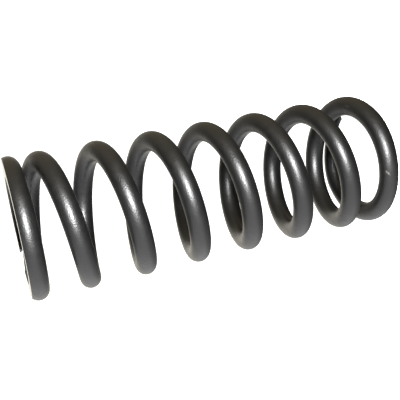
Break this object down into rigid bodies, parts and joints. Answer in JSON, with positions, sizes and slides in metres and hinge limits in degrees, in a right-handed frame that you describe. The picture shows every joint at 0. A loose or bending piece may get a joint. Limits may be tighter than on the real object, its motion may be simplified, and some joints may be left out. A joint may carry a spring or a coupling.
{
  "type": "coil spring",
  "caption": "Right-hand compression coil spring for a rear shock: round wire, even pitch, closed and ground ends, black powder coat.",
  "frame": {"origin": "centre of the spring's axis on its lower ground face, which it stands on", "axes": "+Z along the spring's axis, from the lower ground face to the upper one; the lower wire tip is 25 degrees from +X, anticlockwise from above"},
  "size_m": [0.0804, 0.0804, 0.2177],
  "materials": {
    "powder_coat": "satin"
  },
  "bodies": {
    "root": {"coil_spring": "powder_coat"}
  },
  "joints": []
}
